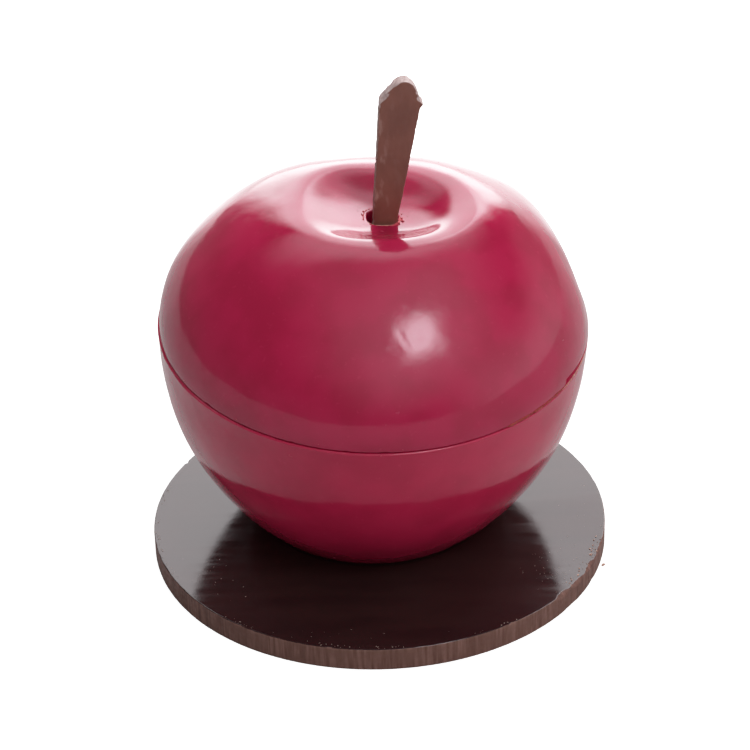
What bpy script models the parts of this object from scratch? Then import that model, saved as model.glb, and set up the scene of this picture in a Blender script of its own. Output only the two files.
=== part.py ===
"""Moulded chocolate apple: two glossy crimson half shells, a flat cut chocolate stem, a dark base disc.

Metres, +Z up, -Y is the front. The origin is the middle of the disc's underside. The apple leans a little
forwards and to the right on its flat foot, so its pieces hang from one tilted empty at the seam's centre.
"""

import math

import bmesh
import bpy
from mathutils import Euler, Vector

GAP = 0.0003                                # air left between pieces that rest on each other

# base disc
DISC_R = 0.037
DISC_T = 0.0039
DISC_SEGMENTS = 96
DISC_EDGE = 0.00022                         # worn top and bottom edges
DISC_CHIPS = (                              # azimuth in degrees, length, bite inwards, depth down
    (-16.0, 0.0050, 0.0005, 0.0008),
    (-26.0, 0.0044, 0.0006, 0.0010),
    (-37.0, 0.0052, 0.0007, 0.0011),
)

# apple: where the seam's centre is, and how the turning axis leans there
SEAM_CENTRE = Vector((0.0001, 0.0036, DISC_T + 0.0352))
LEAN_FORWARD = math.radians(6.0)
LEAN_RIGHT = math.radians(2.2)
TURN_STEPS = 72
MERGE = 0.00001                             # points closer than this are one

# upper half, measured from the seam's centre along the turning axis
UPPER_R = 0.0341
CREST_R = 0.0115                            # ring where the crown is highest, before it is made egg-shaped
CREST_H = 0.0221
CREST_MIDDLE = (0.00164, -0.00074)
CREST_SIDE = 0.0136                         # reach of the egg-shaped ring to the sides, front and back
CREST_FRONT = 0.00995
CREST_BACK = 0.01175
CREST_SQUARE = 2.32                         # 2 is an ellipse, more is squarer
CREST_LOBES = ((136.0, 0.08, 18.0), (52.0, -0.05, 30.0))  # azimuth, share added, spread in degrees
CREST_TILT = (0.00019, 0.00006)             # how much higher the crest is on the right and at the back
DIMPLE_H = 0.0193                           # floor of the dimple around the stem
DIMPLE_FLAT = 0.60                          # share of the crest ring over which the floor leaves level
DIMPLE_BRIM = 0.715                         # share of the crest ring from which the wall arrives level
WALL_SWING = (0.07, -0.13)                  # how much more those shares are on the right than in the middle
WALL_STEPS = 8
WALL_HALVINGS = 30
SHOULDER_RISE = 0.0113                      # how far the side climbs before it turns in
SHOULDER_BULGE = 0.00023                    # how far it leans out beyond the seam there
SHOULDER_REACH = 0.0050                     # how far the crown runs out level from the crest
SIDE_STEPS = 18
SWELL_CORE = Vector((0.0, 0.0, 0.004))      # the swells push away from this point
SWELL_FADE = 0.003                          # height above the seam over which they start
SWELLS = (                                  # azimuth in degrees, height, push outwards, spread
    (10.0, 0.0030, -0.0008, 0.0070),
    (40.0, 0.0110, 0.0010, 0.0050),
    (97.0, 0.0147, -0.00135, 0.0060),
    (143.0, 0.0135, 0.0001, 0.0080),
    (160.0, 0.0210, -0.0005, 0.0050),
    (-8.0, 0.0210, 0.00045, 0.0040),
)

# lower half
LOWER_R = 0.0339
LIP_R = 0.0343                              # thin lip that stands proud all round the seam
LIP_EDGE = 0.0004
LIP_H = 0.0024
TIP_R = 0.0156                              # end of the bowl's curve, below where the foot is cut
TIP_DEPTH = 0.0386
BOWL_BULGE = 0.0005                         # handles of the bowl's curve below the lip
BOWL_DROP = 0.0165
BOWL_TURN = (0.0277, -0.0276)
BOWL_STEPS = 16
FOOT_BLOCK = Vector((0.12, 0.12, 0.04))     # block that cuts the foot flat, just above the disc

# chipped stretch of the seam, front right
CHIP_AZIMUTH = math.radians(-21.0)
CHIP_HALF = Vector((0.0009, 0.0045, 0.0009))

# stem: a tapered slab with a domed top, standing in a blind hole
STEM_X = 0.00134                            # middle of the slab where it leaves the hole
STEM_Y = -0.00037
STEM_MOUTH_W = 0.00366
STEM_HEAD_W = 0.00637
STEM_T = 0.0020
STEM_RISE = 0.0218                          # straight edges above the dimple
STEM_DOME = 0.0040
STEM_PEAK = 0.0003                          # the dome's top is this far right of the middle
STEM_ARCH = 2.2                             # 1 would be a pointed gable, 2 a parabola
ARCH_STEPS = 14
BURR_STEPS = 3                              # steps of the arch that the burr at its right end takes up
STEM_SUNK = 0.0052
STEM_LEAN = math.radians(5.2)               # to the right of the apple's own axis
STEM_YAW = math.radians(5.0)
STEM_BURR = 0.0003
STEM_BEVEL = 0.00015
HOLE_CENTRE = Vector((0.00125, 0.00015, DIMPLE_H))
HOLE_SIZE = (0.0052, 0.0040)
HOLE_CORNER = 0.0013
HOLE_CORNER_STEPS = 5
HOLE_DEPTH = 0.0062


def clear_scene():
    for ob in list(bpy.data.objects):
        bpy.data.objects.remove(ob, do_unlink=True)


def new_collection(name):
    group = bpy.data.collections.new(name)
    bpy.context.scene.collection.children.link(group)
    return group


def material(name, colour, roughness):
    mat = bpy.data.materials.new(name)
    mat.use_nodes = True
    bsdf = mat.node_tree.nodes["Principled BSDF"]
    bsdf.inputs["Base Color"].default_value = (*colour, 1.0)
    bsdf.inputs["Roughness"].default_value = roughness
    bsdf.inputs["Metallic"].default_value = 0.0
    return mat


def add_object(name, data, group, mat=None, parent=None):
    ob = bpy.data.objects.new(name, data)
    group.objects.link(ob)
    ob.parent = parent
    if mat:
        data.materials.append(mat)
    return ob


def add_cutter(name, data, group, parent=None):
    ob = add_object(name, data, group, parent=parent)
    ob.hide_render = True
    ob.display_type = "WIRE"
    return ob


def cut(ob, cutter):
    mod = ob.modifiers.new("cut " + cutter.name, "BOOLEAN")
    mod.operation = "DIFFERENCE"
    mod.object = cutter


def cubic(start, leave, arrive, end, count):
    """Points (radius, height) on a cubic Bezier curve, without its first point."""
    points = []
    for i in range(1, count + 1):
        t = i / count
        s = 1.0 - t
        weights = (s * s * s, 3 * s * s * t, 3 * s * t * t, t * t * t)
        knots = (start, leave, arrive, end)
        points.append(tuple(sum(w * p[axis] for w, p in zip(weights, knots)) for axis in (0, 1)))
    return points


def turned(name, profile, group, mat, parent):
    """A solid turned about local Z from (radius, height) points that run from the axis, top to bottom."""
    mesh = bpy.data.meshes.new(name)
    verts = [(r, 0.0, h) for r, h in profile]
    mesh.from_pydata(verts, [(i, i + 1) for i in range(len(verts) - 1)], [])
    ob = add_object(name, mesh, group, mat, parent)
    screw = ob.modifiers.new("turn", "SCREW")
    screw.steps = TURN_STEPS
    screw.render_steps = TURN_STEPS
    screw.use_merge_vertices = True
    screw.merge_threshold = MERGE
    return ob


def ellipsoid(name, half, segments, rings):
    """A mesh ball with the given half sizes along X, Y and Z."""
    mesh = bpy.data.meshes.new(name)
    bm = bmesh.new()
    bmesh.ops.create_uvsphere(bm, u_segments=segments, v_segments=rings, radius=1.0)
    bmesh.ops.scale(bm, verts=bm.verts, vec=half)
    bm.to_mesh(mesh)
    bm.free()
    return mesh


def around(azimuth, radius, height=0.0):
    return Vector((radius * math.cos(azimuth), radius * math.sin(azimuth), height))


def make_disc(group, cutters, mat):
    mesh = bpy.data.meshes.new("base_disc")
    bm = bmesh.new()
    bmesh.ops.create_cone(bm, cap_ends=True, segments=DISC_SEGMENTS, radius1=DISC_R, radius2=DISC_R,
                          depth=DISC_T)
    bmesh.ops.translate(bm, verts=bm.verts, vec=(0.0, 0.0, DISC_T / 2))
    rims = [e for e in bm.edges if abs(e.verts[0].co.z - e.verts[1].co.z) < DISC_T / 2]
    bmesh.ops.bevel(bm, geom=rims, offset=DISC_EDGE, segments=1, affect="EDGES")
    bm.to_mesh(mesh)
    bm.free()
    disc = add_object("base_disc", mesh, group, mat)
    for i, (azimuth, length, bite, drop) in enumerate(DISC_CHIPS):
        name = f"disc_chip_{i + 1}"
        chip = add_cutter(name, ellipsoid(name, (bite, length / 2, drop), 16, 8), cutters)
        chip.location = around(math.radians(azimuth), DISC_R, DISC_T)
        chip.rotation_euler.z = math.radians(azimuth)
        cut(disc, chip)
    return disc


def crest_reach(turn):
    """Distance from the middle of the egg-shaped crest ring at each angle."""
    depth = CREST_FRONT if math.sin(turn) < 0.0 else CREST_BACK
    across = abs(math.cos(turn) / CREST_SIDE) ** CREST_SQUARE
    along = abs(math.sin(turn) / depth) ** CREST_SQUARE
    reach = (across + along) ** (-1.0 / CREST_SQUARE)
    for azimuth, share, spread in CREST_LOBES:
        off = math.remainder(math.degrees(turn) - azimuth, 360.0)
        reach *= 1.0 + share * math.exp(-0.5 * (off / spread) ** 2)
    return reach


def wall_stage(share):
    """How far along the dimple's wall, 0 to 1, a share of the crest ring lies."""
    low, high = 0.0, 1.0
    for _ in range(WALL_HALVINGS):
        stage = (low + high) / 2
        left = 1.0 - stage
        reached = 3 * left * stage * (left * DIMPLE_FLAT + stage * DIMPLE_BRIM) + stage ** 3
        if reached < share:
            low = stage
        else:
            high = stage
    return low


def make_egg_shaped(ob):
    """Move a round crown's dimple off the axis and draw its crest ring out into an egg shape."""
    for v in ob.data.vertices:
        if v.co.z < GAP:
            continue
        radius = v.co.xy.length
        turn = math.atan2(v.co.y, v.co.x)
        cos, sin = math.cos(turn), math.sin(turn)
        inside = min(radius / CREST_R, 1.0)
        stage = wall_stage(inside)
        left = 1.0 - stage
        inside += 3 * left * stage * (left * WALL_SWING[0] + stage * WALL_SWING[1]) * cos
        outside = max(radius - CREST_R, 0.0) / (UPPER_R - CREST_R)
        reach = crest_reach(turn)
        rim = around(turn, outside * UPPER_R)
        crest = around(turn, inside * reach) + Vector((*CREST_MIDDLE, 0.0))
        lift = (inside * (1.0 - outside)) ** 2 * (CREST_TILT[0] * cos + CREST_TILT[1] * sin)
        v.co = rim + crest * (1.0 - outside) + Vector((0.0, 0.0, v.co.z + lift))


def as_mesh(ob):
    """Turn an object's modifiers into its own mesh."""
    bpy.context.view_layer.update()
    evaluated = ob.evaluated_get(bpy.context.evaluated_depsgraph_get())
    mesh = bpy.data.meshes.new_from_object(evaluated)
    mesh.name = ob.name
    ob.modifiers.clear()
    ob.data = mesh


def swell(ob):
    """Push the crown's soft swells out and its soft hollows in."""
    verts = ob.data.vertices
    for azimuth, height, push, spread in SWELLS:
        angle = math.radians(azimuth)
        middle = min((v.co for v in verts if v.co.xy.length > CREST_R),
                     key=lambda co: (co - around(angle, co.xy.length, height)).length).copy()
        for v in verts:
            near = math.exp(-(v.co - middle).length_squared / (2 * spread * spread))
            fade = min(max((v.co.z - GAP / 2) / SWELL_FADE, 0.0), 1.0)
            v.co += (v.co - SWELL_CORE).normalized() * push * near * fade


def make_upper(group, cutters, mat, axis):
    rim = (UPPER_R, GAP / 2)
    crest = (CREST_R, CREST_H)
    floor = (0.0, DIMPLE_H)
    flat = (CREST_R * DIMPLE_FLAT, DIMPLE_H)
    brim = (CREST_R * DIMPLE_BRIM, CREST_H)
    wall = cubic(floor, flat, brim, crest, WALL_STEPS)
    out = (CREST_R + SHOULDER_REACH, CREST_H)
    side = cubic(crest, out, (UPPER_R + SHOULDER_BULGE, SHOULDER_RISE), rim, SIDE_STEPS)
    upper = turned("upper_half", [floor, *wall, *side, (0.0, GAP / 2)], group, mat, axis)
    as_mesh(upper)
    make_egg_shaped(upper)
    swell(upper)

    mesh = bpy.data.meshes.new("stem_hole")
    bm = bmesh.new()
    bmesh.ops.create_cube(bm, size=1.0)
    bmesh.ops.scale(bm, verts=bm.verts, vec=(*HOLE_SIZE, 2 * HOLE_DEPTH))
    upright = [e for e in bm.edges if abs(e.verts[0].co.z - e.verts[1].co.z) > HOLE_DEPTH]
    bmesh.ops.bevel(bm, geom=upright, offset=HOLE_CORNER, segments=HOLE_CORNER_STEPS, profile=0.5,
                    affect="EDGES")
    bm.to_mesh(mesh)
    bm.free()
    hole = add_cutter("stem_hole", mesh, cutters, axis)
    hole.location = HOLE_CENTRE
    cut(upper, hole)

    chip = add_cutter("seam_chip", ellipsoid("seam_chip", CHIP_HALF, 20, 8), cutters, axis)
    chip.location = around(CHIP_AZIMUTH, UPPER_R, GAP / 2)
    chip.rotation_euler.z = CHIP_AZIMUTH
    cut(upper, chip)
    return upper


def make_lower(group, cutters, mat, axis):
    top = -GAP / 2
    start = (LOWER_R, top - LIP_H)
    lip = [(LIP_R, top), (LIP_R, top - LIP_EDGE)]
    bowl = cubic(start, (LOWER_R + BOWL_BULGE, -BOWL_DROP), BOWL_TURN, (TIP_R, -TIP_DEPTH), BOWL_STEPS)
    lower = turned("lower_half", [(0.0, top), *lip, start, *bowl, (0.0, -TIP_DEPTH)], group, mat, axis)

    mesh = bpy.data.meshes.new("foot_cut")
    bm = bmesh.new()
    bmesh.ops.create_cube(bm, size=1.0)
    bmesh.ops.scale(bm, verts=bm.verts, vec=FOOT_BLOCK)
    bm.to_mesh(mesh)
    bm.free()
    foot = add_cutter("foot_cut", mesh, cutters)
    foot.location = (0.0, 0.0, DISC_T + GAP - FOOT_BLOCK.z / 2)
    cut(lower, foot)
    return lower


def stem_outline():
    """The slab's outline in (across, up) from the middle of its mouth, anticlockwise from bottom left."""
    flare = (STEM_HEAD_W - STEM_MOUTH_W) / (2 * STEM_RISE)
    mouth = STEM_MOUTH_W / 2
    foot = mouth - flare * STEM_SUNK
    head = STEM_HEAD_W / 2
    points = [(-foot, -STEM_SUNK), (foot, -STEM_SUNK), (head, STEM_RISE - STEM_BURR)]
    for i in range(ARCH_STEPS + 1):
        turn = math.pi * i / ARCH_STEPS
        lift = 1.0 - abs(math.cos(turn)) ** STEM_ARCH
        points.append((head * math.cos(turn) + STEM_PEAK * lift + STEM_BURR * (i < BURR_STEPS),
                       STEM_RISE + STEM_DOME * lift))
    return points


def make_stem(group, mat, axis):
    curve = bpy.data.curves.new("stem_outline", "CURVE")
    curve.dimensions = "2D"
    curve.fill_mode = "BOTH"
    curve.extrude = STEM_T / 2 - STEM_BEVEL
    curve.bevel_depth = STEM_BEVEL
    curve.bevel_resolution = 0
    curve.offset = -STEM_BEVEL
    outline = stem_outline()
    spline = curve.splines.new("POLY")
    spline.points.add(len(outline) - 1)
    for point, (across, up) in zip(spline.points, outline):
        point.co = (across, up, 0.0, 1.0)
    spline.use_cyclic_u = True
    guide = add_object("stem_guide", curve, group)
    bpy.context.view_layer.update()
    evaluated = guide.evaluated_get(bpy.context.evaluated_depsgraph_get())
    mesh = bpy.data.meshes.new_from_object(evaluated)
    bpy.data.objects.remove(guide, do_unlink=True)

    mesh.name = "stem"
    bm = bmesh.new()
    bm.from_mesh(mesh)
    bmesh.ops.remove_doubles(bm, verts=bm.verts, dist=MERGE)
    bm.to_mesh(mesh)
    bm.free()
    stem = add_object("stem", mesh, group, mat, axis)
    stem.location = Vector((STEM_X, STEM_Y, DIMPLE_H))
    stem.rotation_euler = (Euler((0.0, STEM_LEAN, 0.0)).to_matrix()
                           @ Euler((0.0, 0.0, STEM_YAW)).to_matrix()
                           @ Euler((math.pi / 2, 0.0, 0.0)).to_matrix()).to_euler()
    return stem


def main():
    clear_scene()
    parts = new_collection("chocolate_apple")
    cutters = new_collection("cutters")

    crimson = material("crimson_chocolate", (0.35, 0.018, 0.06), 0.18)
    crimson_low = material("crimson_chocolate_low", (0.31, 0.018, 0.055), 0.2)
    dark = material("dark_chocolate", (0.022, 0.010, 0.008), 0.22)
    milk = material("milk_chocolate", (0.13, 0.045, 0.032), 0.5)

    axis = bpy.data.objects.new("apple_axis", None)
    parts.objects.link(axis)
    axis.location = SEAM_CENTRE
    axis.rotation_euler = Euler((LEAN_FORWARD, LEAN_RIGHT, 0.0), "XYZ")

    make_disc(parts, cutters, dark)
    make_lower(parts, cutters, crimson_low, axis)
    make_upper(parts, cutters, crimson, axis)
    make_stem(parts, milk, axis)


main()
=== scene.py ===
"""Looks of the moulded chocolate apple: fine surfaces, crumbs, chocolate finishes and a white studio.

Metres, in the frame of the CAD part: +Z up, -Y is the front. Sizes of the turned forms repeat part.py's.
Azimuths are in degrees, anticlockwise from +X as seen from above, so the front is at -90. A stretch of an
edge is given by the azimuth of its middle and by half its length, both in degrees.
"""
import math
import random

import bmesh
import bpy
import numpy as np
from mathutils import Euler, Matrix, Vector, noise
from mathutils.bvhtree import BVHTree


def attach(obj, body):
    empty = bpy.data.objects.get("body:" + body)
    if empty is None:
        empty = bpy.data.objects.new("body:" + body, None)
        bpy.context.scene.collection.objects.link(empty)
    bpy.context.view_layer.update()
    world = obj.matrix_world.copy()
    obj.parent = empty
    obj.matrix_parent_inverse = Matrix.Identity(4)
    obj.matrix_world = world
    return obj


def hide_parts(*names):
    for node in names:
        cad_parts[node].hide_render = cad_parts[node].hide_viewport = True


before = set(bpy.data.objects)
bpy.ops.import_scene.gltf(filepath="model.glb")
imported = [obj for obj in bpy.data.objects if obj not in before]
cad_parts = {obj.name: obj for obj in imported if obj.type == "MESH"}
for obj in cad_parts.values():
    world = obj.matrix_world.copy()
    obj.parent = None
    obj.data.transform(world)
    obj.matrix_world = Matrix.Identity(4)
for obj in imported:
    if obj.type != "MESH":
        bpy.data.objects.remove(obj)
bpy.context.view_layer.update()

MM = 0.001
HALVINGS = 40                               # steps of each search by halving
RAY_START = 60.0 * MM                       # rays that find a place on a surface start this far out

# base disc
DISC_R = 37.0 * MM
DISC_T = 3.9 * MM
DISC_AROUND = 900                           # points round each ring
DISC_TOP = (8.0, 16.0, 22.0, 27.0, 31.0, 32.5, 33.5, 34.2, 34.8, 35.4)  # radii of its rings in millimetres
DISC_UNDER = (35.0, 24.0, 10.0)
DISC_SIDE_RINGS = 8
DISC_FOOT = 0.22 * MM                       # height of the side's lower corner
DISC_ROUGH = (-27.0, 20.0)                  # stretch with a rougher top edge
DISC_DROOP = (-27.0, 34.0, 0.5 * MM)        # stretch whose top edge sags, and how far
DISC_CUTS = ((-23.5, 1.6, 0.08 * MM), (-36.0, 3.5, 0.10 * MM))  # stretches of the side that are cut, depth
DISC_CHIPS = (                              # stretch, bite, drop
    (-39.0, 3.2, 0.50 * MM, 0.7 * MM),
    (-32.0, 2.8, 0.35 * MM, 0.7 * MM),
    (-25.0, 3.4, 0.40 * MM, 0.6 * MM),
    (-16.0, 4.2, 0.25 * MM, 0.5 * MM),
    (-103.0, 1.1, 0.22 * MM, 0.3 * MM),
    (-127.0, 0.9, 0.25 * MM, 0.25 * MM),
    (-57.0, 0.8, 0.2 * MM, 0.25 * MM),
    (64.0, 1.6, 0.35 * MM, 0.5 * MM),
    (151.0, 1.2, 0.3 * MM, 0.4 * MM),
)

# the apple's own frame: seam centre and lean of the turning axis
SEAM_CENTRE = Vector((0.1 * MM, 3.6 * MM, DISC_T + 35.2 * MM))
LEAN = Euler((math.radians(6.0), math.radians(2.2), 0.0), "XYZ")
APPLE = Matrix.Translation(SEAM_CENTRE) @ LEAN.to_matrix().to_4x4()
FOOT_GAP = 0.3 * MM
AROUND = 720                                # points round each ring of the half shells

# upper half
UPPER_R = 34.1 * MM
UPPER_EDGE = 0.12 * MM                      # height of its bottom edge above the seam plane
UPPER_UNDER = ((0.9975, 0.06 * MM), (0.97, 0.03 * MM), (0.6, 0.03 * MM), (0.2, 0.03 * MM))  # share, drop
DIMPLE = (1.64 * MM, -0.74 * MM)            # middle of the egg-shaped crest ring
DIMPLE_H = 19.3 * MM
CREST_SIDE = 13.6 * MM
CREST_FRONT = 9.95 * MM
CREST_BACK = 11.75 * MM
CREST_SQUARE = 2.32                         # 2 is an ellipse, more is squarer
CREST_LOBES = ((136.0, 0.08, 18.0), (52.0, -0.05, 30.0))  # azimuth, share added, spread in degrees
CREST_H = 22.1 * MM
CREST_TILT = (0.19 * MM, 0.06 * MM)         # how much higher the crest is on the right and at the back
WALL_FOOT = 0.60                            # handles of the dimple's wall, as shares of the crest ring
WALL_HEAD = 0.715
WALL_SWING = (0.07, -0.13)                  # how much more each handle is on the right than in the middle
WALL_JOIN = 0.3                             # stage of the wall at which its rings leave the hole's form
SHOULDER_RISE = 11.3 * MM
SHOULDER_REACH = 0.22
SHOULDER_BULGE = 0.01
JOIN_RINGS = 11                             # between the hole's rim and the wall
WALL_RINGS = 35
SIDE_RINGS = 75
SWELL_CORE = np.array((0.0, 0.0, 4.0 * MM))
SWELLS = (                                  # azimuth, height, push outwards, spread
    (10.0, 3.0 * MM, -0.8 * MM, 7.0 * MM),
    (40.0, 11.0 * MM, 1.0 * MM, 5.0 * MM),
    (97.0, 14.7 * MM, -1.35 * MM, 6.0 * MM),
    (143.0, 13.5 * MM, 0.1 * MM, 8.0 * MM),
    (160.0, 21.0 * MM, -0.5 * MM, 5.0 * MM),
    (-8.0, 21.0 * MM, 0.45 * MM, 4.0 * MM),
)
UPPER_RIPPLES = (                           # rise, size, seed
    (0.14 * MM, 15.0 * MM, 1),
    (0.075 * MM, 6.0 * MM, 2),
    (0.015 * MM, 2.8 * MM, 3),
)
CREASE_H = 14.6 * MM                        # height of the folds' middles
CREASE_W = 0.35 * MM
CREASES = (                                 # middle, direction in degrees from level, half length, depth
    ((3.9 * MM, -25.5 * MM), -42.0, 1.3 * MM, 0.022 * MM),
    ((5.6 * MM, -25.9 * MM), -12.0, 1.9 * MM, 0.012 * MM),
)
CHIP_SPAN = (-30.5, -12.0)                  # azimuths of the broken stretch of the upper edge
CHIP_H = 1.1 * MM
EDGE_RAGGED = (-43.0, 10.5, 0.24 * MM)      # ragged stretch of the upper edge, height
EDGE_NICKS = (                              # stretch, height
    (-155.0, 3.0, 0.10 * MM), (-139.0, 1.2, 0.16 * MM), (-112.0, 0.6, 0.14 * MM), (-98.0, 1.0, 0.10 * MM),
    (-88.0, 1.4, 0.12 * MM), (20.0, 3.0, 0.25 * MM), (75.0, 2.0, 0.2 * MM), (133.0, 4.0, 0.3 * MM),
)

# lower half
LOWER_R = 33.9 * MM
LIP_R = 34.25 * MM
LIP_TOP = -0.15 * MM
LIP_SHIFT = 0.12 * MM                       # the lip stands this much further out on the left
LIP_FADE = 3.2 * MM                         # depth over which the lip melts into the bowl
LIP_FLAT = (0.2, 0.6, 0.97)                 # rings of the flat top, as shares of the lip's radius
LIP_CORNER = (                              # inset, share of the wear added to it, drop, share added to it
    (0.34 * MM, 1.0, 0.0, 0.0),
    (0.14 * MM, 0.5, 0.05 * MM, 0.3),
    (0.03 * MM, 0.2, 0.14 * MM, 1.0),
)
LIP_NICKS = (                               # stretch, depth
    (-150.0, 5.0, 0.12 * MM), (-163.0, 2.5, 0.18 * MM), (-35.0, 7.0, 0.08 * MM), (-98.0, 0.8, 0.1 * MM),
    (50.0, 4.0, 0.15 * MM), (110.0, 2.0, 0.2 * MM),
)
BOWL_TOP = (LOWER_R, LIP_TOP - 0.25 * MM)
BOWL_DROP = 16.5 * MM
BOWL_BULGE = 0.5 * MM
BOWL_TURN = (27.7 * MM, -27.6 * MM)
BOWL_TIP = (15.6 * MM, -38.6 * MM)
BOWL_RINGS = 120
FOOT_RINGS = (0.995, 0.9, 0.5)              # shares of the foot's outline
LOWER_RIPPLES = (                           # rise, size, seed
    (0.11 * MM, 13.0 * MM, 4),
    (0.05 * MM, 5.0 * MM, 5),
    (0.014 * MM, 2.2 * MM, 6),
)

# stem and its hole, in the apple's frame
STEM_PLACE = Vector((1.34 * MM, -0.37 * MM, DIMPLE_H))
STEM_MOUTH_W = 3.66 * MM
STEM_HEAD_W = 6.37 * MM
STEM_T = 2.0 * MM
STEM_RISE = 21.8 * MM
STEM_DOME = 4.0 * MM
STEM_PEAK = 0.3 * MM
STEM_ARCH = 2.2                             # 1 would be a pointed gable, 2 a parabola
STEM_SUNK = 5.2 * MM
STEM_LEAN = math.radians(5.2)
STEM_YAW = math.radians(5.0)
STEM_TURN = Matrix.Rotation(STEM_LEAN, 3, "Y") @ Matrix.Rotation(STEM_YAW, 3, "Z")
STEM_AROUND = 128
STEM_CORNERS = (0.14, 0.10)                 # across, front to back: 0 is a sharp rectangle, 1 an ellipse
STEM_RINGS = 170
STEM_TOP_RINGS = 47
STEM_BURRS = (                              # side, rise above the shoulder, spread, push outwards
    (1.0, 0.1 * MM, 0.42 * MM, 0.34 * MM),
    (-1.0, 0.4 * MM, 0.3 * MM, 0.14 * MM),
)
HOLE_X = 1.05 * MM
HOLE_Y = 0.15 * MM
HOLE_HALF = (2.45 * MM, 2.0 * MM)
HOLE_SQUARE = 3                             # 2 is an ellipse, more is squarer
HOLE_DEPTH = 5.6 * MM
HOLE_FOOT = 0.9                             # the bottom ring, as a share of the rim
HOLE_RIM = (                                # share of the rim, drop below the dimple's surface
    (0.95, 3.0 * MM),
    (0.97, 1.0 * MM),
    (0.985, 0.35 * MM),
    (1.0, 0.10 * MM),
    (1.03, 0.02 * MM),
    (1.07, 0.0),
)

# broken edges, crumbs and dust; lengths in millimetres
CORD_AROUND = 14                            # points round each strip of broken chocolate
SEAM_POINTS = 160
MOUTH_POINTS = 120
CRUMB_CORNERS = 13
SEAM_FLAKES = (                             # azimuth, height, size
    (-167.0, -0.7, 0.16), (-159.0, -0.5, 0.12), (-150.0, 0.7, 0.15), (-128.5, 0.6, 0.13),
    (-105.0, 0.8, 0.10), (-89.0, -0.35, 0.13), (-83.5, 0.5, 0.10), (-62.0, -0.3, 0.09),
)
MOUTH_FLAKES = (                            # azimuth, share of the hole's half size, size
    (-38.0, 1.28, 0.34), (-20.0, 1.35, 0.30), (-5.0, 1.22, 0.24), (-48.0, 1.22, 0.22),
    (170.0, 1.30, 0.24), (150.0, 1.40, 0.20), (-165.0, 1.26, 0.20), (20.0, 1.3, 0.16),
    (-75.0, 1.15, 0.14), (-110.0, 1.15, 0.12), (-130.0, 1.2, 0.16), (60.0, 1.3, 0.2),
)
STEM_SHAVINGS = (                           # x, y, size
    (4.4, -0.9, 0.12), (5.0, 0.4, 0.10), (-2.2, 0.9, 0.12), (-2.8, 1.6, 0.10),
    (-3.3, 0.4, 0.08), (0.3, -2.5, 0.08), (3.3, -2.2, 0.10),
)
DUST_PATCHES = (                            # middle, spread, count
    ((28.5, -17.0), (2.6, 3.4), 80),
    ((-28.0, -18.0), (3.5, 4.5), 22),
    ((-10.0, -33.0), (9.0, 1.2), 18),
    ((33.0, 4.0), (1.5, 6.0), 14),
)
DUST_ON_RIM = (                             # azimuth, spread in degrees, count
    (-127.0, 3.0, 12), (-103.0, 4.0, 14), (-90.0, 3.0, 8), (-162.0, 7.0, 16),
    (172.0, 6.0, 14), (-22.0, 9.0, 26), (-55.0, 8.0, 8),
)

# the view
LENS = 144.0
SENSOR = 36.0
VIEW_ELEVATION = math.radians(31.37)
VIEW_ROLL = math.radians(-1.74)
VIEW_DISTANCE = 478.7 * MM
VIEW_TARGET = Vector((0.0, 0.0, 30.85 * MM))

# the studio
AMBIENT = 0.14
HORIZON = 0.08                              # extra light from all round, low down
HORIZON_BAND = (0.5, 0.1)                   # sines of the elevations where it starts and is full
SOFTBOX_SQUARE = 3.0                        # 2 is an ellipse, more is squarer
SOFTBOXES = (                   # azimuth from behind to the right, elevation, half sizes, softness, strength
    (2.0, 22.0, 22.5, 36.0, 0.2, 4.9),      # lit backdrop
    (3.0, 14.0, 18.0, 9.0, 0.5, 1.6),       # its brighter foot
    (25.0, 43.0, 11.5, 16.0, 0.45, 2.6),    # panel behind on the right
    (0.0, 68.0, 27.0, 11.0, 0.6, 2.0),      # high strip behind
    (0.0, 88.0, 26.0, 22.0, 0.6, 0.4),      # overhead
    (147.0, 53.5, 8.5, 8.5, 0.45, 9.5),     # window
    (148.0, 51.0, 30.0, 25.0, 0.9, 1.2),    # wall round the window
    (95.0, 0.0, 34.0, 20.0, 0.8, 1.1),      # low on the right
)
FLOOR_HALF = 3.0
FLOOR_WHITE = 0.4
FLOOR_LIFT = 1.2                            # glow that the camera alone sees, for a clean white sweep
PAINTED_FLOOR_LIGHT = 1.45                            # painted light: glow of the floor behind, in place of the backdrop's light falling on it
PAINTED_LIGHT_WEDGE = (0.55, 0.3)                     # angles to either side, in radians, where the painted light starts and is full
PAINTED_LIGHT_FROM = (0.03, 0.16)                     # distances behind the origin where the painted light starts and is full
WHITE_POINT = 1.4                           # light that comes out as plain white
BACKDROP_SEEN = 1.1 * WHITE_POINT           # the background as the camera sees it
RESPONSE = ((0.2, 0.2), (0.4, 0.395), (0.6, 0.585), (0.8, 0.74), (1.0, 0.86), (1.2, 0.95))  # light, shown
COMBINED = 3                                # the curve that works on all three colours


# ---------------------------------------------------------------- helpers

def add_piece(name, mesh, material, smooth_angle=None):
    if smooth_angle is not None:
        mesh.shade_smooth()
        mesh.set_sharp_from_angle(angle=math.radians(smooth_angle))
    mesh.materials.append(material)
    ob = bpy.data.objects.new(name, mesh)
    bpy.context.scene.collection.objects.link(ob)
    return ob


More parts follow.
